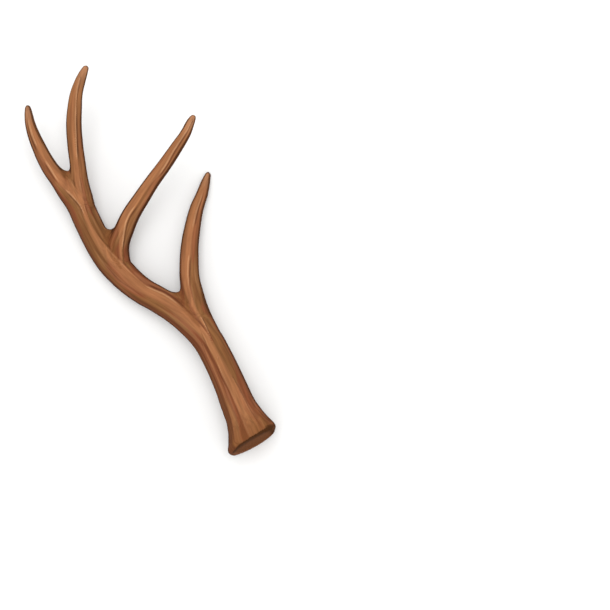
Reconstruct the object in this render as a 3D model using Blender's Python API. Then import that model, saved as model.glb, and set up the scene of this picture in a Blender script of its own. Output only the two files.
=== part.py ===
"""A cut reindeer antler lying on its side, in metres, with +Z up and the floor at z = 0.

The antler is one grown piece of bone: a beam that leaves a flared cut base, and four tines. Each limb is a tube
along a smooth path, and the tubes are fused into one skin with softened forks and lengthwise ridges. Thin saw
gaps at the main forks then part it into five solids.
"""

import math

import bmesh
import bpy
import numpy as np
from mathutils import Matrix, Vector, noise

MM = 0.001

# Stations along each limb, from the base outwards, in millimetres: x, y, height of the centre line, radius.
BEAM = [
    (99.2, -170.3, 25.1, 25.0),
    (97.2, -164.9, 25.3, 22.8),
    (95.0, -159.9, 25.8, 20.5),
    (90.9, -152.3, 26.4, 18.1),
    (85.1, -139.9, 27.0, 16.3),
    (76.7, -121.5, 27.4, 15.0),
    (62.4, -89.8, 26.6, 14.8),
    (54.0, -75.4, 25.4, 15.9),
    (40.5, -61.5, 23.4, 14.5),
    (23.0, -47.5, 21.2, 13.7),
    (5.5, -36.2, 18.8, 12.6),
    (-9.3, -28.7, 16.9, 12.7),
    (-21.8, -19.3, 15.8, 13.4),
    (-32.8, -8.8, 14.5, 14.3),
    (-42.2, 0.8, 13.7, 13.7),
    (-50.0, 12.0, 13.6, 13.9),
    (-58.3, 26.6, 14.2, 13.8),
    (-66.5, 43.5, 16.0, 13.4),
    (-73.7, 59.3, 19.0, 13.3),
    (-83.0, 71.6, 22.5, 12.2),
    (-92.0, 82.5, 26.0, 9.9),
]
OUTER_TINE = [
    (-99.0, 90.5, 29.5, 8.7),
    (-105.1, 100.7, 34.0, 8.0),
    (-110.5, 113.0, 39.0, 7.1),
    (-115.3, 126.0, 43.5, 6.2),
    (-118.4, 137.6, 46.5, 4.8),
    (-119.5, 145.7, 48.2, 4.2),
    (-120.1, 152.0, 49.5, 2.8),
]
TOP_TINE = [
    (-62.0, 35.5, 15.5, 10.5),
    (-67.5, 50.0, 18.5, 11.0),
    (-70.0, 64.0, 22.5, 10.6),
    (-72.5, 80.5, 28.0, 9.3),
    (-73.3, 97.0, 35.0, 7.8),
    (-75.2, 116.0, 43.5, 7.7),
    (-75.8, 136.0, 52.0, 7.6),
    (-74.2, 150.5, 58.5, 7.2),
    (-71.9, 163.8, 63.5, 6.1),
    (-67.7, 175.7, 67.3, 5.3),
    (-63.7, 183.6, 69.7, 4.3),
    (-61.3, 188.4, 71.0, 3.0),
]
SECOND_TINE = [
    (-25.0, -16.0, 16.0, 11.0),
    (-33.0, -4.0, 17.0, 12.0),
    (-35.0, 7.5, 18.5, 11.6),
    (-33.8, 19.0, 22.0, 10.8),
    (-28.5, 31.2, 27.5, 9.7),
    (-21.0, 46.5, 35.5, 8.9),
    (-9.7, 63.2, 45.0, 8.1),
    (2.4, 79.9, 54.0, 6.9),
    (14.7, 95.2, 62.0, 6.6),
    (26.7, 111.3, 69.5, 6.0),
    (36.7, 125.5, 75.0, 4.8),
    (40.9, 134.3, 78.0, 4.2),
    (44.0, 139.9, 80.0, 2.6),
]
BROW_TINE = [
    (58.0, -82.5, 25.5, 13.2),
    (51.3, -67.2, 24.5, 14.0),
    (43.8, -49.0, 22.5, 12.9),
    (39.5, -31.0, 20.3, 11.2),
    (36.6, -15.5, 18.3, 9.5),
    (35.7, 1.0, 16.4, 9.6),
    (36.5, 18.0, 14.4, 8.8),
    (39.5, 37.0, 12.0, 8.0),
    (43.5, 54.5, 9.6, 7.0),
    (48.8, 69.3, 7.1, 5.7),
    (52.1, 80.8, 4.8, 4.6),
    (54.7, 89.6, 2.5, 2.5),
]

# The cut base: where its middle is, which way it faces (leaning up a little), and how the rim rounds over.
FACE_CENTRE = Vector((101.8, -179.0, 26.0))
FACE_TURN = math.radians(30)
FACE_LEAN = math.radians(13.5)
RIM = [(0.0, 23.2), (1.2, 25.0), (3.4, 25.9)]  # distance behind the face, radius
FACE_NORMAL = Vector(
    (
        math.sin(FACE_TURN) * math.cos(FACE_LEAN),
        -math.cos(FACE_TURN) * math.cos(FACE_LEAN),
        math.sin(FACE_LEAN),
    )
)

# The skin
PATH_STEPS = 6  # points read from the smooth path between two stations
TUBE_SIDES = 28
VOXEL = 1.5
WEBS = [(24.5, -34.0, 20.5, 6.0), (-43.5, 27.5, 20.5, 7.0), (-86.0, 87.5, 30.0, 5.0)]  # a ball that fills each fork
FORK_REACH = 20.0  # how far from there the skin is softened
FORK_SMOOTHING = 30
ALL_SMOOTHING = 2

# Lengthwise ridges, as the blood vessels left them under the velvet
RIDGE_HEIGHT = 0.9
RIDGE_COUNT = 1.9  # size of the noise across a limb whose radius is RIDGE_RADIUS: more gives more ridges
RIDGE_RADIUS = 14.0
RIDGE_LENGTH = 75.0
RIDGE_FADE = 5.0  # ridges die out this far from the cut face
LIMB_BLEND = 7.0  # how sharply a point on a fork picks one limb's ridges

FACES = 7000
KERF = 0.3
KERFS = {  # where each tine is parted from the beam: a place on its centre line, and which way it grows there
    "outer_tine": ((-95.0, 86.0, 27.6), (-0.62, 0.70, 0.32), 18.0),
    "top_tine": ((-73.4, 92.5, 33.2), (-0.09, 0.92, 0.38), 15.0),
    "second_tine": ((-26.3, 36.0, 29.8), (0.40, 0.81, 0.42), 16.0),
    "brow_tine": ((38.4, -25.0, 19.5), (-0.19, 0.97, -0.13), 16.0),
}
BONE = (0.296, 0.122, 0.054, 1.0)


def clear_scene():
    for thing in list(bpy.data.objects):
        bpy.data.objects.remove(thing)


def smooth_path(stations):
    """Points on a smooth curve through the stations, each (x, y, z, radius) in millimetres."""
    points = [Vector(station) for station in stations]
    points = [2 * points[0] - points[1], *points, 2 * points[-1] - points[-2]]
    path = []
    for before, start, end, after in zip(points, points[1:], points[2:], points[3:]):
        for step in range(PATH_STEPS):
            t = step / PATH_STEPS
            linear = end - before
            square = 2 * before - 5 * start + 4 * end - after
            cube = 3 * start - before - 3 * end + after
            path.append(start + 0.5 * (linear * t + square * t * t + cube * t * t * t))
    path.append(points[-2])
    return path


def rim_stations():
    """Stations from the cut face inwards to the flare, from the rounded rim's profile."""
    return [(*(FACE_CENTRE - FACE_NORMAL * back), radius) for back, radius in RIM]


def round_tip(path):
    """The path, carried on so that the tube closes in a half ball."""
    end = path[-1]
    way = (end.xyz - path[-2].xyz).normalized()
    tip = []
    for angle in (30, 55, 75, 88):
        ahead = end.xyz + way * end.w * math.sin(math.radians(angle))
        tip.append(Vector((*ahead, end.w * math.cos(math.radians(angle)))))
    return path + tip


def tube(name, path):
    """A closed tube along a path, with the radius that each point of the path gives."""
    curve = bpy.data.curves.new(name, "CURVE")
    curve.dimensions = "3D"
    curve.bevel_depth = MM
    curve.bevel_resolution = TUBE_SIDES // 4
    curve.use_fill_caps = True
    spline = curve.splines.new("POLY")
    spline.points.add(len(path) - 1)
    for point, place in zip(spline.points, path):
        point.co = (*(place.xyz * MM), 1)
        point.radius = place.w
    limb = bpy.data.objects.new(name, curve)
    bpy.context.collection.objects.link(limb)
    return limb


def web(place):
    """A ball in the angle of a fork, which rounds it out."""
    x, y, z, radius = (value * MM for value in place)
    bpy.ops.mesh.primitive_ico_sphere_add(subdivisions=3, radius=radius, location=(x, y, z))
    return bpy.context.active_object


def select_only(things):
    bpy.ops.object.select_all(action="DESELECT")
    for thing in things:
        thing.select_set(True)
    bpy.context.view_layer.objects.active = things[0]


def apply_modifier(thing, name, kind, **settings):
    modifier = thing.modifiers.new(name, kind)
    for setting, value in settings.items():
        setattr(modifier, setting, value)
    select_only([thing])
    bpy.ops.object.modifier_apply(modifier=modifier.name)


def limb_frames(path):
    """The path as arrays: centres, radii, length so far, and two directions across that turn with it and don't twist."""
    centres = np.array([tuple(point.xyz) for point in path])
    radii = np.array([point.w for point in path])
    steps = np.diff(centres, axis=0)
    lengths = np.concatenate([[0], np.cumsum(np.linalg.norm(steps, axis=1))])
    ways = [Vector(step).normalized() for step in steps]
    ways.append(ways[-1])
    side = ways[0].orthogonal().normalized()
    across = []
    for last, way in zip([ways[0], *ways], ways):
        side = last.rotation_difference(way) @ side
        side = (side - way * side.dot(way)).normalized()
        across.append((tuple(side), tuple(way.cross(side))))
    return centres, radii, lengths, np.array(across)


def ridge_heights(points, paths):
    """How far each point stands proud or is sunk, from noise that is stretched along the limbs it belongs to."""
    heights = []
    depths = []
    for path in paths:
        centres, radii, lengths, across = limb_frames(path)
        squares = (points**2).sum(axis=1)[:, None] + (centres**2).sum(axis=1) - 2 * points @ centres.T
        gaps = np.sqrt(np.maximum(squares, 0))
        nearest = np.argmin(gaps / radii, axis=1)
        radius = radii[nearest]
        offset = points - centres[nearest]
        sides = across[nearest]
        unit = np.einsum("nij,nj->ni", sides, offset)
        unit /= np.maximum(np.linalg.norm(unit, axis=1, keepdims=True), 1e-6)
        count = RIDGE_COUNT * np.sqrt(np.minimum(radius, RIDGE_RADIUS) / RIDGE_RADIUS)
        along = lengths[nearest] / RIDGE_LENGTH
        spots = np.column_stack([unit * count[:, None], along])
        heights.append([noise.noise(Vector(spot)) for spot in spots])
        depths.append(gaps[np.arange(len(points)), nearest] / radius)
    depths = np.array(depths)
    weights = np.exp(-LIMB_BLEND * (depths - depths.min(axis=0)))
    return (weights * np.array(heights)).sum(axis=0) / weights.sum(axis=0) * 2


def outer_shell(skin):
    """The skin alone, without a small shell that tubes which cross can leave inside."""
    select_only([skin])
    bpy.ops.mesh.separate(type="LOOSE")
    shells = sorted(bpy.context.selected_objects, key=lambda shell: len(shell.data.vertices))
    for shell in shells[:-1]:
        bpy.data.objects.remove(shell)
    return shells[-1]


def grown_skin(limbs, paths):
    """One closed skin around all the limbs, with soft forks, lengthwise ridges and a flat cut base."""
    select_only(limbs)
    bpy.ops.object.convert(target="MESH")
    bpy.ops.object.join()
    skin = bpy.context.view_layer.objects.active
    apply_modifier(skin, "Fuse the limbs", "REMESH", mode="VOXEL", voxel_size=VOXEL * MM)
    skin = outer_shell(skin)
    apply_modifier(skin, "Even out", "SMOOTH", iterations=ALL_SMOOTHING)
    softened = skin.vertex_groups.new(name="forks")
    for vertex in skin.data.vertices:
        gap = min((vertex.co - Vector(web[:3]) * MM).length for web in WEBS) / MM
        softened.add([vertex.index], max(0.0, 1 - gap / FORK_REACH), "REPLACE")
    apply_modifier(skin, "Soften the forks", "SMOOTH", iterations=FORK_SMOOTHING, vertex_group="forks")

    points = np.array([tuple(vertex.co / MM) for vertex in skin.data.vertices])
    behind = -(points - np.array(FACE_CENTRE)) @ np.array(FACE_NORMAL)
    heights = ridge_heights(points, paths) * RIDGE_HEIGHT * np.clip(behind / RIDGE_FADE, 0, 1)
    normals = [vertex.normal.copy() for vertex in skin.data.vertices]
    for vertex, normal, height in zip(skin.data.vertices, normals, heights):
        vertex.co += normal * (float(height) * MM)
    return skin


def cut_base(skin):
    """Saws the base off flat and fills the cut."""
    mesh = bmesh.new()
    mesh.from_mesh(skin.data)
    cut = bmesh.ops.bisect_plane(
        mesh,
        geom=mesh.verts[:] + mesh.edges[:] + mesh.faces[:],
        plane_co=FACE_CENTRE * MM,
        plane_no=FACE_NORMAL,
        clear_outer=True,
    )
    edges = [piece for piece in cut["geom_cut"] if isinstance(piece, bmesh.types.BMEdge)]
    bmesh.ops.holes_fill(mesh, edges=edges)
    bmesh.ops.triangulate(mesh, faces=mesh.faces[:])
    mesh.to_mesh(skin.data)
    mesh.free()


def saw_gap(name, place, way, radius):
    """A thin disc across a limb: what it takes away parts the tine from the beam."""
    turn = Vector(way).to_track_quat("Z", "Y").to_matrix().to_4x4()
    bpy.ops.mesh.primitive_cylinder_add(vertices=16, radius=radius * MM, depth=KERF * MM)
    disc = bpy.context.active_object
    disc.name = f"cut_{name}"
    disc.matrix_world = Matrix.Translation(Vector(place) * MM) @ turn
    disc.hide_render = True
    disc.display_type = "WIRE"
    return disc


def bone_material():
    bone = bpy.data.materials.new("smooth_brown_bone")
    bone.use_nodes = True
    shader = bone.node_tree.nodes["Principled BSDF"]
    shader.inputs["Base Color"].default_value = BONE
    shader.inputs["Roughness"].default_value = 0.45
    return bone


def part_at_forks(skin):
    """Parts the skin into the beam and its tines, and names each after what it is."""
    for name, (place, way, radius) in KERFS.items():
        disc = saw_gap(name, place, way, radius)
        apply_modifier(skin, f"Part {name}", "BOOLEAN", operation="DIFFERENCE", object=disc)
    select_only([skin])
    bpy.ops.mesh.separate(type="LOOSE")
    solids = list(bpy.context.selected_objects)
    tips = {"outer_tine": OUTER_TINE, "top_tine": TOP_TINE, "second_tine": SECOND_TINE, "brow_tine": BROW_TINE}
    tips = {name: Vector(stations[-1][:3]) * MM for name, stations in tips.items()}
    tips["beam"] = FACE_CENTRE * MM
    bone = bone_material()
    for solid in solids:
        gaps = {name: min((v.co - tip).length for v in solid.data.vertices) for name, tip in tips.items()}
        solid.name = min(gaps, key=gaps.get)
        solid.data.materials.clear()
        solid.data.materials.append(bone)
        solid.data.shade_smooth()
    return solids


def build():
    clear_scene()
    trunk = smooth_path(rim_stations() + BEAM + OUTER_TINE)
    tines = [smooth_path(stations) for stations in (TOP_TINE, SECOND_TINE, BROW_TINE)]
    limbs = [tube("trunk", round_tip(trunk))] + [tube("tine", round_tip(path)) for path in tines]
    limbs += [web(place) for place in WEBS]
    skin = grown_skin(limbs, [trunk, *tines])
    apply_modifier(skin, "Fewer faces", "DECIMATE", ratio=FACES / (2 * len(skin.data.vertices)))
    cut_base(skin)
    part_at_forks(skin)


build()
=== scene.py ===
# %% [markdown]
# # A cut reindeer antler
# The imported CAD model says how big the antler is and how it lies. Its five solids have the right
# outline, but a plain skin with thin gaps at the forks. This lesson grows one seamless antler in
# their place, gives it the crests and grooves of the real bone, and colours it.

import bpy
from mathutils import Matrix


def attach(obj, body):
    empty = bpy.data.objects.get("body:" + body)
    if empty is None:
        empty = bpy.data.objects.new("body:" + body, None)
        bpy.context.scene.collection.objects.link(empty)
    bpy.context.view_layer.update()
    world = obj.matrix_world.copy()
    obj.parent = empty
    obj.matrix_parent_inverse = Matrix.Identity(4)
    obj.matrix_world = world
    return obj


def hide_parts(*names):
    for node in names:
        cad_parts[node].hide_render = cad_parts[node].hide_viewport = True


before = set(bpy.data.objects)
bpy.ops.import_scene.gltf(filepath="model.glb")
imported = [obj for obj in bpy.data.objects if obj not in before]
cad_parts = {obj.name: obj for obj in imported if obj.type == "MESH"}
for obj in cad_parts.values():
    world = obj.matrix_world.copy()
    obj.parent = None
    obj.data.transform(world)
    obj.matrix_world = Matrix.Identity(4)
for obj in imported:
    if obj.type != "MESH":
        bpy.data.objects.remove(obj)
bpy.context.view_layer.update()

# %% [markdown]
# ## Tools
# Lengths are written in millimetres, as on a caliper, and Blender counts in metres, so MM turns one
# into the other. Every operator works on what is selected, so one helper selects, and a second adds
# a modifier and applies it.

# %% Selecting and applying
import math

import bmesh
import bpy
import numpy as np
from mathutils import Vector, noise
from mathutils.geometry import interpolate_bezier

MM = 0.001


def select_only(*things):
    bpy.ops.object.select_all(action="DESELECT")
    for thing in things:
        thing.select_set(True)
    bpy.context.view_layer.objects.active = things[0]


def shape_with(thing, kind, **settings):
    """Adds a modifier, sets it and applies it."""
    modifier = thing.modifiers.new(kind.lower(), kind)
    for setting, value in settings.items():
        setattr(modifier, setting, value)
    select_only(thing)
    bpy.ops.object.modifier_apply(modifier=modifier.name)


# %% [markdown]
# ## The limbs
# An antler is one growth of bone: a beam, and tines that leave it. Each limb is measured at
# stations along its centre line: x, y, height above the table, and radius. It could be pushed out
# of a cylinder ring by ring, but a curve that is drawn point by point, with a thickness at each
# point, bends and tapers as smoothly as bone grows.

# %% Stations along the limbs, from the base outwards
CUT_CENTRE = Vector((101.8, -179.0, 26.0))
CUT_TURN = math.radians(30)
CUT_LEAN = math.radians(13.5)
CUT_FORWARD = Vector((math.sin(CUT_TURN), -math.cos(CUT_TURN), 0))
CUT_NORMAL = CUT_FORWARD * math.cos(CUT_LEAN) + Vector((0, 0, math.sin(CUT_LEAN)))
CUT_SIDE = Vector((math.cos(CUT_TURN), math.sin(CUT_TURN), 0))
FLARE = [  # rings parallel to the cut: how far behind it, how far to the side, radius
    (-3.0, -1.3, 23.8),
    (0.0, -1.3, 24.2),
    (1.2, -1.2, 25.6),
    (3.4, -0.4, 27.0),
    (6.0, 0.2, 26.6),
    (9.0, 1.0, 25.0),
    (12.0, 1.5, 23.6),
    (16.0, 2.1, 22.0),
    (20.0, 2.8, 20.4),
    (24.0, 3.2, 19.4),
    (28.0, 3.9, 18.3),
    (33.0, 4.2, 17.3),
]
FLARE_HEIGHT = 25.6  # of the rings' centres, and no ring is higher than twice this

BEAM = [
    (103.5, -182.0, 25.5, 22.0),
    (99.2, -170.3, 25.3, 22.5),
    (95.0, -159.9, 25.8, 19.5),
    (90.9, -152.3, 26.4, 17.8),
    (85.1, -139.9, 27.0, 16.6),
    (77.6, -121.2, 27.4, 15.5),
    (62.7, -89.7, 26.6, 15.0),
    (54.0, -75.4, 25.4, 15.4),
    (40.5, -61.5, 23.4, 14.5),
    (23.0, -47.5, 21.2, 13.7),
    (5.0, -36.6, 18.8, 12.9),
    (-9.3, -28.7, 16.9, 12.9),
    (-21.8, -19.3, 15.8, 13.7),
    (-32.8, -8.8, 14.8, 14.6),
    (-42.2, 0.8, 14.2, 14.1),
    (-50.0, 12.0, 14.2, 14.1),
    (-58.3, 26.6, 14.2, 13.8),
    (-66.5, 43.5, 16.0, 13.4),
    (-73.7, 59.3, 19.0, 13.3),
    (-83.0, 71.6, 22.5, 12.2),
    (-92.0, 82.5, 26.0, 9.9),
]
OUTER_TINE = [
    (-98.8, 90.4, 29.5, 8.4),
    (-105.1, 100.7, 34.0, 7.7),
    (-110.7, 112.9, 39.0, 7.0),
    (-115.7, 125.9, 43.5, 6.1),
    (-118.8, 137.6, 46.5, 4.8),
    (-119.9, 145.7, 48.2, 4.2),
    (-120.5, 152.0, 49.5, 2.8),
]
TOP_TINE = [
    (-62.0, 35.5, 15.5, 10.5),
    (-67.5, 50.0, 18.5, 11.6),
    (-70.0, 64.0, 22.5, 10.6),
    (-72.5, 80.5, 28.0, 9.3),
    (-73.2, 97.0, 35.0, 7.9),
    (-74.8, 116.0, 43.5, 7.8),
    (-75.2, 136.0, 52.0, 7.6),
    (-73.6, 150.5, 58.5, 7.2),
    (-71.4, 163.7, 63.5, 6.2),
    (-67.3, 175.6, 67.3, 5.3),
    (-63.7, 183.6, 69.7, 4.3),
    (-61.3, 188.4, 71.0, 3.0),
]
SECOND_TINE = [
    (-25.0, -16.0, 16.0, 11.0),
    (-33.0, -4.0, 17.0, 12.0),
    (-35.0, 7.5, 18.5, 11.6),
    (-33.8, 19.0, 22.0, 10.8),
    (-28.5, 31.2, 27.5, 9.7),
    (-20.8, 46.3, 35.5, 8.9),
    (-9.3, 62.9, 45.0, 8.1),
    (2.8, 79.6, 54.0, 7.0),
    (15.0, 95.0, 62.0, 6.6),
    (26.9, 111.2, 69.5, 6.0),
    (36.7, 125.5, 75.0, 4.8),
    (40.9, 134.3, 78.0, 4.2),
    (44.0, 139.9, 80.0, 2.6),
]
BROW_TINE = [
    (65.0, -94.5, 26.8, 14.6),
    (54.3, -72.5, 25.0, 13.8),
    (43.8, -49.0, 22.5, 12.9),
    (39.5, -31.0, 20.3, 11.2),
    (36.9, -15.5, 18.3, 9.6),
    (36.4, 1.0, 16.4, 9.6),
    (37.1, 18.0, 14.4, 8.9),
    (39.8, 36.9, 12.0, 8.1),
    (43.5, 54.5, 9.6, 7.0),
    (48.8, 69.3, 7.1, 5.7),
    (52.1, 80.8, 4.8, 4.6),
    (54.7, 89.6, 2.5, 2.5),
]
LIMBS = {
    "trunk": BEAM + OUTER_TINE,
    "top_tine": TOP_TINE,
    "second_tine": SECOND_TINE,
    "brow_tine": BROW_TINE,
}
print("stations per limb:", {name: len(stations) for name, stations in LIMBS.items()})

# %% [markdown]
# Drawing a limb is what a hand would do in edit mode: add a curve, delete its points, then click
# new ones and set the thickness of each. A ball closes each tip. The same curve then says where the
# centre line runs, which is needed later to lay ridges and grain along the limb.

# %% Draw the limbs
LINE_STEPS = 12  # places read from the curve between two stations


def draw_line(name, stations):
    """A curve through the stations, with the last number of each as its thickness there."""
    bpy.ops.object.select_all(action="DESELECT")
    bpy.ops.curve.primitive_bezier_curve_add(enter_editmode=True)
    bpy.ops.curve.select_all(action="SELECT")
    bpy.ops.curve.delete(type="VERT")
    for *place, thickness in stations:
        bpy.ops.curve.vertex_add(location=Vector(place) * MM)
        bpy.ops.curve.radius_set(radius=thickness)
    bpy.ops.curve.select_all(action="SELECT")
    bpy.ops.curve.handle_type_set(type="AUTOMATIC")
    bpy.ops.object.mode_set(mode="OBJECT")
    line = bpy.context.object
    line.name = name
    return line


def read_line(line, skip=0):
    """Where the curve runs, how thick it is and how far along, in mm, and two directions across."""
    points = line.data.splines[0].bezier_points[skip:]
    places, sizes = [], []
    for start, end in zip(points, points[1:]):
        bend = (start.co, start.handle_right, end.handle_left, end.co)
        places += interpolate_bezier(*bend, LINE_STEPS + 1)[:-1]
        sizes += list(np.linspace(start.radius, end.radius, LINE_STEPS + 1)[:-1])
    places.append(points[-1].co)
    sizes.append(points[-1].radius)
    centres = np.array([tuple(place) for place in places]) / MM
    along = np.concatenate([[0], np.cumsum(np.linalg.norm(np.diff(centres, axis=0), axis=1))])
    ways = np.gradient(centres, along, axis=0)
    ways /= np.linalg.norm(ways, axis=1, keepdims=True)
    sides = np.cross(ways, (0, 0, 1))
    sides /= np.linalg.norm(sides, axis=1, keepdims=True)
    ups = np.cross(sides, ways)
    return {"centres": centres, "sizes": np.array(sizes), "along": along, "sides": sides, "ups": ups}


ROOT_STATIONS = 2  # a tine's first stations lie inside the beam, and its own grain starts after them
TUBE_DETAIL = 8  # how finely the round of a limb is divided
limb_lines = {}
limb_pieces = []
for name, stations in LIMBS.items():
    limb = draw_line(name, stations)
    limb_lines[name] = read_line(limb, skip=0 if name == "trunk" else ROOT_STATIONS)
    limb.data.splines[0].radius_interpolation = "BSPLINE"  # so that the taper has no corners
    limb.data.bevel_depth = MM  # times the thickness at each point
    limb.data.bevel_resolution = TUBE_DETAIL
    limb.data.use_fill_caps = True
    limb_pieces.append(limb)
    *tip, tip_radius = stations[-1]
    bpy.ops.mesh.primitive_uv_sphere_add(radius=tip_radius * MM, location=Vector(tip) * MM)
    limb_pieces.append(bpy.context.object)
    print(name, "is", round(limb_lines[name]["along"][-1]), "mm long")

# %% [markdown]
# The flared base is different: the saw cut it at a slant, and its edge runs parallel to the cut. So
# it is pushed out ring by ring from a circle, as a potter widens a foot, and each ring is moved a
# little to the side.

# %% Push out the flared base
RING_CORNERS = 96

ring_centres = [CUT_CENTRE - CUT_FORWARD * back + CUT_SIDE * aside for back, aside, _ in FLARE]
for ring_centre in ring_centres:
    ring_centre.z = FLARE_HEIGHT
bpy.ops.object.select_all(action="DESELECT")
bpy.ops.mesh.primitive_circle_add(
    vertices=RING_CORNERS,
    radius=FLARE[0][2] * MM,
    location=ring_centres[0] * MM,
    rotation=CUT_NORMAL.to_track_quat("Z", "Y").to_euler(),
    enter_editmode=True,
)
last_centre, last_radius, last_height = ring_centres[0], FLARE[0][2], FLARE[0][2]
for ring_centre, (_, _, radius) in zip(ring_centres[1:], FLARE[1:]):
    height = min(radius, FLARE_HEIGHT)
    bpy.ops.mesh.extrude_region_move(TRANSFORM_OT_translate={"value": (ring_centre - last_centre) * MM})
    wider = radius / last_radius
    bpy.ops.transform.resize(value=(wider, wider, height / last_height), center_override=ring_centre * MM)
    last_centre, last_radius, last_height = ring_centre, radius, height
bpy.ops.mesh.select_all(action="SELECT")
bpy.ops.mesh.fill_holes(sides=0)
bpy.ops.mesh.normals_make_consistent()
bpy.ops.object.mode_set(mode="OBJECT")
flare = bpy.context.object
limb_pieces.append(flare)
print("flare has", len(FLARE), "rings and", len(flare.data.polygons), "faces")

# %% [markdown]
# ## One skin
# The tubes only cross each other so far. Where bone forks, it fills the angle with a soft web. A
# ball in each fork gives the web some body. Then the Remesh modifier wraps everything in one even
# skin, as a sculptor would, and the Smooth modifier melts the creases at the forks. A shell that
# crossing tubes left inside is thrown away.

# %% Fuse the limbs
WEBS = [  # place and radius
    (24.0, -34.5, 20.5, 5.5),
    (-44.0, 27.3, 17.5, 6.4),
    (-34.8, 31.0, 21.0, 6.0),
    (-85.8, 87.0, 29.0, 4.8),
]
WEB_REACH = 20.0
COARSE_SKIN = 1.5  # size of the skin's faces while the forks are melted
FINE_SKIN = 0.95  # and once they are

for *place, radius in WEBS:
    bpy.ops.mesh.primitive_ico_sphere_add(subdivisions=4, radius=radius * MM, location=Vector(place) * MM)
    limb_pieces.append(bpy.context.object)
select_only(*limb_pieces)
bpy.ops.object.convert(target="MESH")
bpy.ops.object.join()
antler = bpy.context.object
shape_with(antler, "REMESH", mode="VOXEL", voxel_size=COARSE_SKIN * MM)
select_only(antler)
bpy.ops.mesh.separate(type="LOOSE")
shells = sorted(bpy.context.selected_objects, key=lambda shell: len(shell.data.vertices))
for shell in shells[:-1]:
    bpy.data.objects.remove(shell)
antler = shells[-1]
antler.name = "antler"
antler.data.name = "antler"

# %% [markdown]
# The forks are melted more than the rest: a vertex group says how much of the smoothing each vertex
# takes, from all of it in the middle of a web to none WEB_REACH away.

# %% Melt the forks
SKIN_SMOOTHING = 2  # rounds of smoothing all over, which take the steps off a remeshed skin
FORK_SMOOTHING = 45  # and at the forks

shape_with(antler, "SMOOTH", iterations=SKIN_SMOOTHING)
near_fork = antler.vertex_groups.new(name="near_fork")
for vertex in antler.data.vertices:
    gap = min((vertex.co - Vector(web[:3]) * MM).length for web in WEBS) / MM
    near_fork.add([vertex.index], max(0.0, 1 - gap / WEB_REACH), "REPLACE")
shape_with(antler, "SMOOTH", iterations=FORK_SMOOTHING, vertex_group="near_fork")
antler.vertex_groups.clear()
print("melted", len(WEBS), "forks in a skin of", len(antler.data.vertices), "vertices")

# %% [markdown]
# ## The cut base
# The antler was sawn off above the skull, which left a flat face with a rounded rim. Bisect cuts
# the skin on that plane and fills it with one face. Extruding that face onto itself, scaling and
# moving it, step by step, sinks the core, which dries and shrinks behind the dense wall. An inset
# would tangle on the face's many short edges. A second, finer Remesh then gives wall, rim and core
# one even skin, ready for fine relief.

# %% Saw the base off and sink the core
CUT_RADIUS = 24.2
CORE_SHIFT = 2.3  # the core lies off the middle, so the wall is thicker on one side
CORE_RADIUS = 21.5
CORE_STEPS = [  # radius, shift to the side, sink
    (CORE_RADIUS, CORE_SHIFT, 0.0),
    (20.2, 0.0, 1.2),
    (13.0, 0.0, 0.9),
    (5.0, 0.0, 0.4),
]
CORE_CENTRE = CUT_CENTRE + CUT_SIDE * (FLARE[1][1] + CORE_SHIFT)
CUT_SMOOTHING = 0.15  # the cut face takes this share of the smoothing, so its rim stays crisp
CUT_SMOOTHING_FADE = 6.0  # and the skin takes all of it this far behind the cut

select_only(antler)
bpy.ops.object.mode_set(mode="EDIT")
bpy.ops.mesh.select_all(action="SELECT")
bpy.ops.mesh.bisect(plane_co=CUT_CENTRE * MM, plane_no=CUT_NORMAL, use_fill=True, clear_outer=True)
bpy.ops.mesh.select_mode(type="FACE")
bpy.ops.mesh.select_all(action="DESELECT")
edited = bmesh.from_edit_mesh(antler.data)
face = max(edited.faces, key=lambda face: len(face.verts))
face.select = True
bmesh.update_edit_mesh(antler.data)
print("cut face has", len(face.verts), "corners, facing", [round(part, 2) for part in face.normal])
middle = (CUT_CENTRE + CUT_SIDE * FLARE[1][1]) * MM
last_radius = CUT_RADIUS
for radius, shift, sink in CORE_STEPS:
    scale = radius / last_radius
    step = (CUT_SIDE * shift - CUT_NORMAL * sink) * MM
    bpy.ops.mesh.extrude_region_move(TRANSFORM_OT_translate={"value": (0, 0, 0)})
    bpy.ops.transform.resize(value=(scale, scale, scale), center_override=middle)
    bpy.ops.transform.translate(value=step)
    middle = middle + step
    last_radius = radius
bpy.ops.object.mode_set(mode="OBJECT")
shape_with(antler, "REMESH", mode="VOXEL", voxel_size=FINE_SKIN * MM)
away_from_cut = antler.vertex_groups.new(name="away_from_cut")
for vertex in antler.data.vertices:
    behind_cut = (CUT_CENTRE - vertex.co / MM).dot(CUT_NORMAL)
    share = min(1.0, max(CUT_SMOOTHING, behind_cut / CUT_SMOOTHING_FADE))
    away_from_cut.add([vertex.index], share, "REPLACE")
shape_with(antler, "SMOOTH", iterations=SKIN_SMOOTHING, vertex_group="away_from_cut")
antler.vertex_groups.clear()
print("skin:", len(antler.data.vertices), "vertices")

# %% [markdown]
# ## Reading the skin
# Ridges, grooves and grain all follow the limbs. So for every vertex we ask each limb's centre
# line: how many radii away are you, how far along, and which way round. A limb counts for a vertex
# by how close it is, and near a fork two limbs share it.

# %% Ask each limb about every vertex
LIMB_BLEND = 7.0  # how sharply a vertex near a fork picks one limb
CHUNK = 4000  # vertices read at once
SHARED_BELOW = 0.8  # two limbs share a vertex if its first limb counts for less than this
LEAST_SHARE = 0.01  # a limb that counts for less than this gives a vertex no noise
NOISE_RADIUS = 14.0  # thinner limbs than this have fewer streaks round them
NOISE_STEP = 7.3  # keeps the noise of one limb apart from the next one's
NOISE_GAIN = 2  # brings the noise, which is mostly weak, nearer to -1 and 1


def vertex_numbers(what):
    numbers = np.empty(len(antler.data.vertices) * 3, np.float32)
    antler.data.vertices.foreach_get(what, numbers)
    return numbers.reshape(-1, 3).astype(float)


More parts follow.
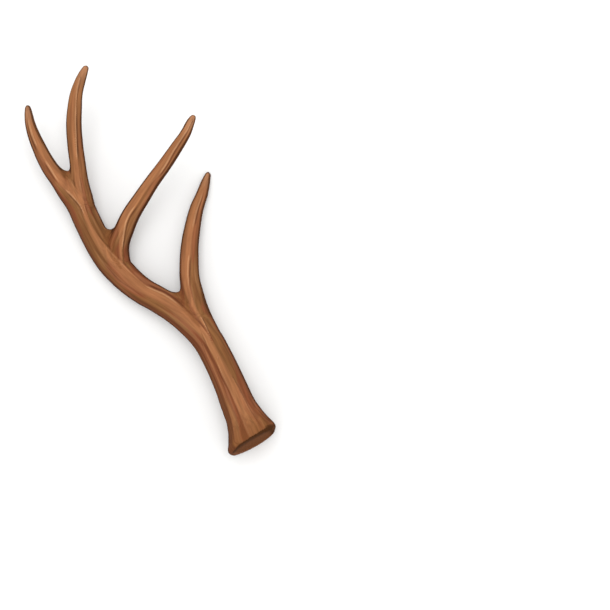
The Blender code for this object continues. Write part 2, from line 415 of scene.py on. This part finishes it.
def nearest_on(line, points, flat=False):
    """For each point, the nearest place on a line as its index, and the distance in line thicknesses."""
    axes = 2 if flat else 3
    indices, gaps = [], []
    for start in range(0, len(points), CHUNK):
        offsets = points[start : start + CHUNK, None, :axes] - line["centres"][None, :, :axes]
        ratios = np.linalg.norm(offsets, axis=2) / line["sizes"]
        indices.append(ratios.argmin(axis=1))
        gaps.append(ratios.min(axis=1))
    return np.concatenate(indices), np.concatenate(gaps)


def read_limbs():
    """Per limb, for each vertex: distance along, direction round, radius, and how much the limb counts."""
    points = vertex_numbers("co") / MM
    readings = []
    for line in limb_lines.values():
        index, depth = nearest_on(line, points)
        offset = points - line["centres"][index]
        sideways = (offset * line["sides"][index]).sum(axis=1)
        upwards = (offset * line["ups"][index]).sum(axis=1)
        turned = np.column_stack([sideways, upwards])
        turned /= np.maximum(np.linalg.norm(turned, axis=1, keepdims=True), 1e-6)
        along, radius = line["along"][index], line["sizes"][index]
        readings.append({"along": along, "round": turned, "radius": radius, "depth": depth})
    depths = np.array([reading["depth"] for reading in readings])
    weights = np.exp(-LIMB_BLEND * (depths - depths.min(axis=0)))
    weights /= weights.sum(axis=0)
    for reading, weight in zip(readings, weights):
        reading["weight"] = weight
    return points, readings


def lengthwise_noise(readings, count, length, seed):
    """Noise from -1 to 1 in streaks along the limbs. A higher count gives more streaks round one."""
    total = 0
    for number, reading in enumerate(readings):
        scale = count * np.sqrt(np.minimum(reading["radius"], NOISE_RADIUS) / NOISE_RADIUS)
        spots = np.column_stack([reading["round"] * scale[:, None], reading["along"] / length])
        spots += seed + number * NOISE_STEP
        counted = reading["weight"] > LEAST_SHARE
        heights = np.zeros(len(spots))
        heights[counted] = [noise.noise(Vector(spot)) for spot in spots[counted]]
        total = total + heights * reading["weight"]
    return np.clip(total * NOISE_GAIN, -1, 1)


points, readings = read_limbs()
first_share = np.max([reading["weight"] for reading in readings], axis=0)
print("vertices that two limbs share:", int((first_share < SHARED_BELOW).sum()))

# %% [markdown]
# ## Crests, grooves and ridges
# Under the velvet, blood vessels press lengthwise grooves into the growing bone and leave crests
# between them. The broad crests are drawn as lines over the top, seen from above, each with its
# own half width. Smaller ridges come from noise that is stretched along the limb. They could be
# a bump texture, but real relief also shows from the side and in the exported mesh.

# %% Draw the crests: x, y and half width
STEM_CREST = [
    (104.5, -176.5, 4.6),
    (99.0, -165.5, 4.6),
    (91.5, -148.0, 4.6),
    (84.2, -131.3, 4.4),
    (74.3, -111.5, 4.2),
    (67.3, -96.7, 3.6),
    (59.4, -82.8, 3.0),
    (53.4, -72.0, 2.0),
    (49.0, -65.0, 0.8),
]
BEAM_CREST = [
    (66.0, -95.0, 0.8),
    (60.5, -86.0, 1.8),
    (52.4, -71.5, 3.0),
    (43.4, -61.6, 3.8),
    (33.5, -52.7, 4.4),
    (23.3, -43.8, 4.8),
    (10.3, -34.9, 4.9),
    (-0.5, -30.0, 4.8),
    (-10.9, -24.3, 4.5),
    (-23.4, -12.9, 4.5),
    (-34.2, -1.5, 4.4),
    (-42.8, 8.5, 3.9),
    (-52.8, 20.4, 3.2),
    (-58.0, 28.6, 2.6),
    (-62.3, 37.4, 2.2),
    (-66.5, 48.2, 2.2),
    (-69.5, 58.7, 2.4),
    (-71.8, 71.8, 2.6),
    (-73.2, 85.4, 2.3),
    (-73.8, 96.0, 2.2),
    (-74.0, 123.3, 2.2),
    (-73.2, 147.6, 2.0),
    (-71.2, 165.6, 1.7),
    (-67.4, 178.1, 1.2),
]
OUTER_CREST = [
    (-66.5, 47.0, 0.8),
    (-70.5, 57.0, 1.5),
    (-77.0, 66.5, 2.5),
    (-88.4, 79.2, 3.4),
    (-96.8, 92.8, 3.9),
    (-106.2, 108.9, 3.8),
    (-113.2, 123.7, 3.4),
    (-116.9, 135.6, 2.8),
    (-119.4, 147.8, 1.8),
]
SECOND_CREST = [
    (-29.5, -1.0, 0.7),
    (-30.8, 9.1, 1.2),
    (-30.2, 20.0, 2.0),
    (-28.8, 32.5, 3.2),
    (-25.5, 45.1, 4.0),
    (-16.9, 57.7, 4.0),
    (-8.6, 69.0, 3.6),
    (-0.8, 78.4, 3.3),
    (10.9, 90.7, 3.0),
    (25.0, 111.6, 2.6),
    (35.5, 126.1, 2.1),
    (42.3, 136.2, 1.2),
]
BROW_CREST = [
    (60.5, -80.0, 0.7),
    (52.5, -62.0, 1.2),
    (46.5, -52.0, 1.6),
    (41.0, -42.0, 2.0),
    (36.5, -30.0, 2.6),
    (34.0, -18.0, 3.4),
    (33.0, -5.0, 4.0),
    (34.5, 12.6, 4.0),
    (37.4, 32.7, 3.4),
    (42.0, 52.9, 2.8),
    (47.3, 68.0, 2.2),
    (51.5, 81.3, 1.4),
]
BEND_CREST = [
    (-47.0, -0.5, 0.8),
    (-39.6, -7.5, 1.6),
    (-34.3, -12.9, 2.0),
    (-27.9, -18.3, 2.2),
    (-17.0, -25.0, 1.8),
    (-2.0, -35.0, 0.8),
]
FAN_LEFT = [
    (51.0, -80.0, 0.6),
    (56.0, -91.0, 1.2),
    (62.0, -104.0, 1.4),
    (70.5, -124.0, 1.6),
    (78.5, -146.0, 1.9),
    (83.0, -163.0, 2.4),
    (85.5, -176.0, 2.8),
]
FAN_RIGHT = [
    (80.0, -114.0, 0.7),
    (87.5, -128.0, 1.1),
    (96.5, -147.0, 1.6),
    (106.0, -162.5, 2.2),
    (112.0, -171.0, 2.4),
]
FORK_PATCH = [(-84.5, 84.0, 1.5), (-81.0, 77.0, 4.0), (-75.0, 66.0, 3.5), (-69.0, 54.0, 1.0)]
BACK_STRIP = [
    (-44.0, 26.0, 0.8),
    (-55.0, 47.0, 1.3),
    (-62.0, 68.0, 1.6),
    (-66.0, 88.0, 1.5),
    (-67.5, 110.0, 0.8),
]
LEFT, RIGHT = -1, 1
CRESTS = {  # the line, how strong it is, and on which side it ends in a crisp edge, looking along it
    "stem": (STEM_CREST, 0.8, LEFT),
    "beam": (BEAM_CREST, 1.0, RIGHT),
    "outer": (OUTER_CREST, 1.0, LEFT),
    "second": (SECOND_CREST, 1.0, RIGHT),
    "brow": (BROW_CREST, 0.9, RIGHT),
    "bend": (BEND_CREST, 0.5, RIGHT),
    "fan_left": (FAN_LEFT, 0.6, RIGHT),
    "fan_right": (FAN_RIGHT, 0.65, LEFT),
    "fork_patch": (FORK_PATCH, 0.7, LEFT),
    "back_strip": (BACK_STRIP, 0.35, LEFT),
}
VALLEYS = {  # below each fork, where painted shade darkens the web
    "brow_valley": [(26.0, -33.0, 6.0), (31.0, -41.0, 5.5), (40.0, -53.0, 3.2), (48.0, -64.0, 1.0)],
    "second_valley": [(-43.0, 28.0, 6.5), (-40.5, 15.0, 5.0), (-36.0, 4.0, 3.0), (-31.0, -6.0, 1.0)],
    "top_valley": [(-87.0, 91.0, 4.5), (-85.5, 86.5, 3.0), (-84.0, 82.0, 1.0)],
}
GROOVE_PLACE = 1.25  # in half widths from the middle of a crest
GROOVE_WIDTH = 0.75  # millimetres
HIGHLIGHT_PLACE = 0.7  # where the painted highlight line runs along a crest, in half widths
HIGHLIGHT_WIDTH = 0.6
CRISP_END, CRISP_FADE = 1.1, 0.25  # in half widths: where a crest ends on its crisp side, and how fast
SOFT_END, SOFT_FADE = 1.5, 0.9  # and on its other side
VALLEY_END = 1.4
TURN_END, TURN_FADE = 0.05, 0.3  # how crests die out where the skin turns away from the sky
GROOVE_SHARE = 0.7  # how deep a groove is before the noise makes it wander
HIGHLIGHT_SHARE, HIGHLIGHT_WANDER, HIGHLIGHT_LEAST = 0.75, 1.5, 0.2  # how strong the painted highlight line is, and how strong at least

crest_lines = {}
drawn = {name: crest[0] for name, crest in CRESTS.items()} | VALLEYS
for name, stations in drawn.items():
    pencil = draw_line(name, [(x, y, 0, half_width) for x, y, half_width in stations])
    crest_lines[name] = read_line(pencil)
    bpy.data.objects.remove(pencil)
print("drew", len(CRESTS), "crests and", len(VALLEYS), "valleys")


def beside(name, points):
    """How far each vertex is from a line in half widths, less than 0 to its left, and the half width."""
    line = crest_lines[name]
    index, gap = nearest_on(line, points, flat=True)
    side = ((points - line["centres"][index]) * line["sides"][index]).sum(1)
    return np.where(side < 0, -gap, gap), line["sizes"][index]


def read_crests(points, normals, wander):
    """How much of a crest, its painted highlight line, a groove and the painted valley shade each vertex
    carries, from 0 to 1.
    """
    facing_up = np.clip((normals[:, 2] + TURN_END) / TURN_FADE, 0, 1)
    crest = np.zeros(len(points))
    painted_highlight = np.zeros(len(points))
    groove = np.zeros(len(points))
    for name, (_, strength, crisp_side) in CRESTS.items():
        across, half_width = beside(name, points)
        across = across * crisp_side
        crisp, soft = (CRISP_END - across) / CRISP_FADE, (SOFT_END + across) / SOFT_FADE
        fade = np.where(across > 0, crisp, soft)
        crest = np.maximum(crest, strength * facing_up * np.clip(fade, 0, 1))
        away = (across - GROOVE_PLACE) * half_width / GROOVE_WIDTH
        pressed = strength * facing_up * np.exp(-(away**2)) * np.clip(GROOVE_SHARE + wander, 0, 1)
        groove = np.maximum(groove, pressed)
        # painted highlight: a thin light line along each crest, broken up by the noise
        off_line = (across - HIGHLIGHT_PLACE) * half_width / HIGHLIGHT_WIDTH
        highlight_strength = np.clip(HIGHLIGHT_SHARE + HIGHLIGHT_WANDER * wander, HIGHLIGHT_LEAST, 1)
        highlit = strength**3 * facing_up * np.exp(-(off_line**2)) * highlight_strength
        painted_highlight = np.maximum(painted_highlight, highlit)
    valley_shade = np.zeros(len(points))
    for name in VALLEYS:
        away = np.abs(beside(name, points)[0])
        valley_shade = np.maximum(valley_shade, np.clip(VALLEY_END - away, 0, 1) * facing_up)
    return crest, painted_highlight, groove, valley_shade


# %% [markdown]
# Now the skin is carved as with a sculpting brush: every vertex moves along its own normal, out
# where there is a crest, a ridge or a rib, and in where a vessel left a groove. On the cut face only
# the pores of the soft core are pressed in. No vertex sinks below the table.

# %% Raise the crests and ridges, and press in the grooves
PLUMP = 0.3  # the two remeshes and the smoothing have taken this much off
RIDGE_HEIGHT = 0.55
STREAK_HEIGHT = 0.15
CREST_HEIGHT = 0.5
GROOVE_DEPTH = 0.45
RELIEF_FADE = 16.0  # ridges have their full height this far from the cut
CREST_FADE = 4.0  # and crests, grooves and ribs this far
SIDE_SHARE = 0.4  # of the ridges' height is left on the flanks
RIB_COUNT = 13
RIB_HEIGHT = 0.2
RIB_REACH = 42.0  # ribs fan out over the flared base this far
RIB_SWAY = 2.5  # how much the ridges push the ribs round
PORE_DEPTH = 0.3  # in the soft core
PORE_SCALE = 0.7  # of the noise that presses the pores in, per millimetre
CUT_DEPTH = 4.0  # a vertex of the cut face lies less than this behind the cut
CUT_FACING = 0.5  # faces the cut's way more than this
CUT_SPARE = 2.0  # and lies less than this outside the cut's radius

normals = vertex_numbers("normal")
ridges = lengthwise_noise(readings, count=1.9, length=75.0, seed=0.0)
streaks = lengthwise_noise(readings, count=5.0, length=55.0, seed=31.0)
wander = lengthwise_noise(readings, count=1.0, length=30.0, seed=57.0)
crest, painted_highlight, groove, valley_shade = read_crests(points, normals, wander)
behind = (np.array(CUT_CENTRE) - points) @ np.array(CUT_NORMAL)
from_core = points - np.array(CORE_CENTRE) + behind[:, None] * np.array(CUT_NORMAL)
from_core = np.linalg.norm(from_core, axis=1)
on_cut = (behind < CUT_DEPTH) & (normals @ np.array(CUT_NORMAL) > CUT_FACING)
on_cut = on_cut & (from_core < CUT_RADIUS + CUT_SPARE)
angle = np.arctan2(readings[0]["round"][:, 0], readings[0]["round"][:, 1])
rib = np.cos(angle * RIB_COUNT + RIB_SWAY * ridges) * np.clip(1 - behind / RIB_REACH, 0, 1)
upright = SIDE_SHARE + (1 - SIDE_SHARE) * np.abs(normals[:, 2])
fine = (RIDGE_HEIGHT * ridges + STREAK_HEIGHT * streaks) * upright
broad = CREST_HEIGHT * crest - GROOVE_DEPTH * groove + RIB_HEIGHT * rib
relief = fine * np.clip(behind / RELIEF_FADE, 0, 1)
relief += broad * np.clip(behind / CREST_FADE, 0, 1) + PLUMP
pore_spots = zip(points * PORE_SCALE, on_cut)
pores = np.array([noise.noise(Vector(spot)) if cut else 0 for spot, cut in pore_spots])
relief = np.where(on_cut, PORE_DEPTH * pores * (from_core < CORE_RADIUS), relief)
room = points[:, 2] / np.maximum(-normals[:, 2], 0.01)  # how far a vertex may sink to the table
relief = np.where(normals[:, 2] < 0, np.minimum(relief, room), relief)
moved = (points + normals * relief[:, None]) * MM
antler.data.vertices.foreach_set("co", moved.astype(np.float32).ravel())
antler.data.update()
print("relief from", round(relief.min(), 2), "to", round(relief.max(), 2), "mm")

# %% [markdown]
# ## What the colour needs to know
# The bone's colour follows its form: crests are light, partly from wear and partly as a painted
# highlight along the top, grooves hold dirt, and painted shade makes the sides darker than the top.
# So each vertex keeps numbers for the material to read, as attributes: they stay on the mesh when it
# is exported. The grain is a place along and round the limb, in millimetres, so that fine streaks can
# follow it.

# %% Keep the numbers on the mesh
SHADE_AXIS = np.array(Vector((0.05, 0.32, 1.0)).normalized())  # what faces this way gets the least painted shade
OUTLINE_WIDTH = 1.7  # millimetres, seen from above
OUTLINE_SHARE = 0.5  # of the radius, which the outline of a thin limb doesn't pass
OUTLINE_UNDER = 0.3  # how much of the painted edge shade is left right under the limb
SLIM_RADIUS, SLIM_RANGE = 12.0, 7.0  # a limb is lighter below this radius, and lightest so far below
FLANK_RADIUS, FLANK_LEAST = 18.0, 0.4  # the painted flank shade is darkest on thick limbs, and at least this dark
FLANK_SHIFT = 2.0  # added to a limb's radius first
CORE_SPARE = 0.5  # the core's stain ends this far outside it
CORE_MIDDLE = 0.5  # how dark the painted shadow is at the core's middle; it darkens upwards, under the rim's top edge
THIN_DEPTH, THIN_FADE = 6.0, 1.5  # the rim is thin at one side, and darker this far behind the cut
THIN_START, THIN_RANGE = 12.0, 8.0  # and from here to the side, in full so much further
THIN_RIM_DARKENING = 0.8
SMOOTH_ANGLE = math.radians(50)  # edges sharper than this stay sharp
TIP_REACH = 26.0  # the points are polished this far from their ends
RIM_REACH = 34.0  # and the flared base is darker this far from the cut
PORE_GRAIN = 1.6  # the cut face's pores are this much finer than the streaks are wide
normals = vertex_numbers("normal")
radius = sum(reading["radius"] * reading["weight"] for reading in readings)
aside = (points - np.array(CUT_CENTRE)) @ np.array(CUT_SIDE)
up_cut = (points - np.array(CUT_CENTRE)) @ np.array(CUT_NORMAL.cross(CUT_SIDE))
grain = np.zeros((len(points), 3))
for reading in readings:
    place = np.column_stack([reading["round"] * reading["radius"][:, None], reading["along"]])
    grain += place * reading["weight"][:, None]
across_cut = np.column_stack([aside, up_cut, np.zeros(len(points))])
grain = np.where(on_cut[:, None], PORE_GRAIN * across_cut, grain)
tilt = np.sqrt(np.clip(1 - np.clip(normals[:, 2], 0, 1) ** 2, 0, 1))
# painted shade: a thin dark band where the skin turns down from the top, seen from above as a dark edge
painted_edge_shade = np.clip(1 - radius * (1 - tilt) / np.minimum(OUTLINE_WIDTH, OUTLINE_SHARE * radius), 0, 1)
painted_edge_shade *= np.clip(1 + OUTLINE_UNDER + normals[:, 2], OUTLINE_UNDER, 1) * (1 - on_cut)
core = on_cut * np.clip(CORE_RADIUS + CORE_SPARE - from_core, 0, 1)
thin_rim = np.clip((THIN_DEPTH - behind) / THIN_FADE, 0, 1)
thin_rim *= np.clip((aside - THIN_START) / THIN_RANGE, 0, 1)
tips = np.array([stations[-1][:3] for stations in LIMBS.values()])
from_tip = np.min([np.linalg.norm(points - tip, axis=1) for tip in tips], axis=0)
numbers = {
    "crest": crest,
    "painted_highlight": painted_highlight,
    "groove": groove,
    "valley_shade": valley_shade,
    "slim": np.clip((SLIM_RADIUS - radius) / SLIM_RANGE, 0, 1),
    "tip": np.clip(1 - from_tip / TIP_REACH, 0, 1),
    "streak": streaks,
    "tone": lengthwise_noise(readings, count=2.2, length=60.0, seed=83.0),
    # painted shade: flanks and underside darker, by how far they face away from the light
    "painted_flank_shade": (1 - normals @ SHADE_AXIS) * np.clip((radius + FLANK_SHIFT) / FLANK_RADIUS, FLANK_LEAST, 1),
    "painted_edge_shade": painted_edge_shade,
    "rib": rib,
    "core": core,
    # painted shadow of the rim on the upper cut face, and the darker thin side of the rim
    "core_shadow_and_dark_side": np.maximum(on_cut * np.clip(CORE_MIDDLE + up_cut / CORE_RADIUS, 0, 1), THIN_RIM_DARKENING * thin_rim),
    "wall": on_cut.astype(float),
    "rim": np.clip(1 - behind / RIM_REACH, 0, 1),
    "gloss": np.where(on_cut, -1, crest - painted_edge_shade),
}
for name, values in numbers.items():
    kept = antler.data.attributes.new(name, "FLOAT", "POINT")
    kept.data.foreach_set("value", values.astype(np.float32))
kept = antler.data.attributes.new("grain", "FLOAT_VECTOR", "POINT")
kept.data.foreach_set("vector", grain.astype(np.float32).ravel())
select_only(antler)
bpy.ops.object.shade_smooth_by_angle(angle=SMOOTH_ANGLE)
print("triangles:", sum(len(face.vertices) - 2 for face in antler.data.polygons))

# %% [markdown]
# ## Bone
# Antler bone that has lost its velvet is dense and satin: handled crests shine a little, and the
# skin is stained brown by bark and blood. The stain is uneven, in streaks of tan, reddish and olive
# brown that follow the length. It could be painted by hand, but a procedural material can be made
# again at any size.

# %% The smooth brown bone
# the tan of crests, which are lighter partly from wear and partly as a painted highlight
TAN_CREST = "#A56E48"
# light tan for random light streaks, and for the painted highlight along the crests
LIGHT_STREAK_AND_HIGHLIGHT_TAN = "#BE8C65"
TIP_TAN = "#B08262"
RED_BROWN = "#804A2F"
OLIVE_BROWN = "#825734"
# for the painted shade below the forks, and for the darker flared base near the cut
VALLEY_BROWN = "#7A4A28"
# dark brown for random dark streaks, and for the painted shade on the flanks and underside
DARK_STREAK_AND_FLANK_SHADE = "#663A23"
# the darkest brown, for the painted shade at the edges
EDGE_SHADE_BROWN = "#432310"
GROOVE_DIRT = "#5A3420"
SAWN_CORE = "#6C4329"
# for the painted shadow under the rim's top edge, and the darker thin side of the rim
SHADOW_AND_DARK_SIDE_BROWN = "#422610"
SAWN_RIM = "#7A4F36"


def linear(colour):
    """The linear colour of an sRGB hex value."""
    parts = [int(colour[start : start + 2], 16) / 255 for start in (1, 3, 5)]
    return (*(part / 12.92 if part <= 0.04045 else ((part + 0.055) / 1.055) ** 2.4 for part in parts), 1.0)


def add_node(tree, kind, values=None, feeds=None, **settings):
    """Adds one node, with its settings, the values of its sockets and what feeds them."""
    node = tree.nodes.new(kind)
    for setting, value in settings.items():
        setattr(node, setting, value)
    for socket, value in (values or {}).items():
        node.inputs[socket].default_value = value
    for socket, source in (feeds or {}).items():
        tree.links.new(source, node.inputs[socket])
    return node


bone = bpy.data.materials.new("smooth_brown_bone")
bone.use_nodes = True
tree = bone.node_tree
shader = tree.nodes["Principled BSDF"]

read = {}
for name in numbers:
    read[name] = add_node(tree, "ShaderNodeAttribute", attribute_name=name).outputs["Fac"]
print("the bone reads", len(read), "numbers:", ", ".join(read))
STREAK_WIDTH = 2.5  # millimetres
STREAK_LENGTH = 40.0
grain_place = add_node(tree, "ShaderNodeAttribute", attribute_name="grain").outputs["Vector"]

stretched = {"Scale": (1 / STREAK_WIDTH, 1 / STREAK_WIDTH, 1 / STREAK_LENGTH)}
stretched = add_node(tree, "ShaderNodeMapping", stretched, {"Vector": grain_place})
streak_noise = {"Scale": 1.0, "Detail": 3.0, "Roughness": 0.6}
streak_noise = add_node(tree, "ShaderNodeTexNoise", streak_noise, {"Vector": stretched.outputs["Vector"]})
streaks_seen = streak_noise.outputs["Fac"]

# %% [markdown]
# The stains, painted shade and painted highlights lie over each other like thin washes. Each row
# of the list is one wash: its colour, the number on the mesh that says where it goes, and how much
# of it shows. The loop mixes them one by one over the reddish brown ground, and the fine streaks
# shade them all at the end.

# %% Lay the stains, painted shade and painted highlights over each other
LAYERS = [  # colour, the number that places it, where it starts, where it is full, how much shows
    (OLIVE_BROWN, "tone", -0.15, 0.25, 1.0),
    (DARK_STREAK_AND_FLANK_SHADE, "streak", 0.1, 0.45, 0.4),
    (LIGHT_STREAK_AND_HIGHLIGHT_TAN, "streak", -0.15, -0.55, 0.15),
    (TAN_CREST, "slim", 0.0, 1.0, 0.55),
    (TAN_CREST, "rib", 0.1, 0.6, 0.2),
    # crests on the top: lighter partly from wear and partly as a painted highlight
    (TAN_CREST, "crest", 0.1, 1.0, 0.8),
    # painted highlight along each crest's crisp edge
    (LIGHT_STREAK_AND_HIGHLIGHT_TAN, "painted_highlight", 0.05, 0.7, 0.75),
    # painted shade in the hollow below each fork
    (VALLEY_BROWN, "valley_shade", 0.1, 0.9, 0.5),
    (GROOVE_DIRT, "groove", 0.15, 0.8, 0.65),
    # darker towards the cut end of the flared base
    (VALLEY_BROWN, "rim", 0.0, 1.0, 0.6),
    # painted shade on the flanks and underside
    (DARK_STREAK_AND_FLANK_SHADE, "painted_flank_shade", 0.25, 0.55, 0.75),
    (TIP_TAN, "tip", 0.1, 0.9, 0.5),
    # painted edge shade
    (EDGE_SHADE_BROWN, "painted_edge_shade", 0.0, 0.65, 0.85),
    (SAWN_RIM, "wall", 0.0, 1.0, 0.8),
    (SAWN_CORE, "core", 0.0, 1.0, 1.0),
    # painted shadow under the rim's top edge, and the darker thin side of the rim
    (SHADOW_AND_DARK_SIDE_BROWN, "core_shadow_and_dark_side", 0.3, 1.0, 0.9),
]
STREAK_SHADE = (0.78, 1.12)  # the fine streaks darken and lighten the stains this much
FAINT, STRONG = 0.35, 0.65  # most of the fine noise lies between these
MIX_FACTOR, MIX_FIRST, MIX_SECOND, MIXED = 0, 6, 7, 2  # sockets of a Mix node that mixes colours

darkest, lightest = STREAK_SHADE
shade = {"From Min": FAINT, "From Max": STRONG, "To Min": darkest, "To Max": lightest}
shade = add_node(tree, "ShaderNodeMapRange", shade, {"Value": streaks_seen})
under = None
for stain, name, low, high, top in LAYERS:
    amount = add_node(
        tree,
        "ShaderNodeMapRange",
        {"From Min": low, "From Max": high, "To Min": 0.0, "To Max": top},
        {"Value": read[name]},
        interpolation_type="SMOOTHSTEP",
    )
    mix = add_node(
        tree,
        "ShaderNodeMix",
        {MIX_FIRST: linear(RED_BROWN), MIX_SECOND: linear(stain)},
        {MIX_FACTOR: amount.outputs[0]},
        data_type="RGBA",
    )
    if under:
        tree.links.new(under.outputs[MIXED], mix.inputs[MIX_FIRST])
    under = mix
shaded = add_node(
    tree,
    "ShaderNodeMix",
    {MIX_FACTOR: 1.0},
    {MIX_FIRST: under.outputs[MIXED], MIX_SECOND: shade.outputs[0]},
    data_type="RGBA",
    blend_type="MULTIPLY",
)
tree.links.new(shaded.outputs[MIXED], shader.inputs["Base Color"])
print("laid", len(LAYERS), "stains over each other")

# %% [markdown]
# Handling has polished the crests, so they are smoother than the hollows, and the sawn face is the
# roughest. The same fine streaks that shade the colour are felt as a faint grain, a bump far too low
# to model.

# %% Gloss and fine relief
DULL_CUT, SATIN_CREST = 0.88, 0.55  # roughness of the cut face and of the most worn crests
SHEEN = 0.03  # specular level, low because the skin is stained and dry
BONE_IOR = 1.5
BUMP_STRENGTH = 0.5
BUMP_HEIGHT = 0.15  # millimetres

rough = {"From Min": -1.0, "To Min": DULL_CUT, "To Max": SATIN_CREST}
rough = add_node(tree, "ShaderNodeMapRange", rough, {"Value": read["gloss"]})
tree.links.new(rough.outputs[0], shader.inputs["Roughness"])
shader.inputs["Specular IOR Level"].default_value = SHEEN
shader.inputs["IOR"].default_value = BONE_IOR
bump = {"Strength": BUMP_STRENGTH, "Distance": BUMP_HEIGHT * MM}
bump = add_node(tree, "ShaderNodeBump", bump, {"Height": streaks_seen})
tree.links.new(bump.outputs[0], shader.inputs["Normal"])
antler.data.materials.clear()
antler.data.materials.append(bone)
print("the bone has", len(tree.nodes), "nodes")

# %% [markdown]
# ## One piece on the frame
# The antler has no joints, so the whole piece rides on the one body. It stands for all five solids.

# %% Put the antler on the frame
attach(antler, "root")
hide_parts("beam", "brow_tine", "second_tine", "top_tine", "outer_tine")
print(antler.name, "is on the frame")

# %% [markdown]
# ## Table, light and camera
# A loose thing lies down, and the camera looks straight down on it. The table is nearly white. A
# big soft light comes from beyond the tips, so the cut face and the lower flanks stay dark, and the
# sky fills the shadows.

# %% Table
TABLE_SIZE = 30  # metres, so that its edge is out of sight
TABLE_WHITE = "#F6F6F5"
TABLE_ROUGHNESS = 0.9

bpy.ops.object.select_all(action="DESELECT")
bpy.ops.mesh.primitive_plane_add(size=TABLE_SIZE)
table = bpy.context.object
table.name = "table"
pale = bpy.data.materials.new("pale_table")
pale.use_nodes = True
surface = pale.node_tree.nodes["Principled BSDF"].inputs
surface["Base Color"].default_value = linear(TABLE_WHITE)
surface["Roughness"].default_value = TABLE_ROUGHNESS
surface["Specular IOR Level"].default_value = 0.0
table.data.materials.append(pale)
print("table is", TABLE_SIZE, "m wide")

# %% Lights
KEY_PLACE = Vector((0.0, 0.6, 2.4))
KEY_SIZE = 1.6
KEY_WATTS = 25
SKY_STRENGTH = 0.95

bpy.ops.object.light_add(type="AREA", location=KEY_PLACE)
key = bpy.context.object
key.name = "key_light"
key.data.size = KEY_SIZE
key.data.energy = KEY_WATTS
key.rotation_euler = (Vector((0, 0, 0)) - KEY_PLACE).to_track_quat("-Z", "Y").to_euler()
world = bpy.context.scene.world or bpy.data.worlds.new("studio")
bpy.context.scene.world = world
world.use_nodes = True
sky = world.node_tree.nodes["Background"].inputs
sky["Color"].default_value = (1, 1, 1, 1)
sky["Strength"].default_value = SKY_STRENGTH
print("key light of", KEY_WATTS, "W, and a sky of", SKY_STRENGTH)

# %% Camera
CAMERA_PLACE = (0.1524, -0.0423, 2.053)  # to one side, so that the antler fills the left half
LENS, SENSOR = 120, 36
NEAREST = 0.1

bpy.ops.object.camera_add(location=CAMERA_PLACE, rotation=(0, 0, 0))
camera = bpy.context.object
camera.data.lens = LENS
camera.data.sensor_width = SENSOR
camera.data.clip_start = NEAREST
bpy.context.scene.camera = camera
bpy.context.scene.view_settings.view_transform = "Standard"
print("camera is", CAMERA_PLACE[2], "m above the table")
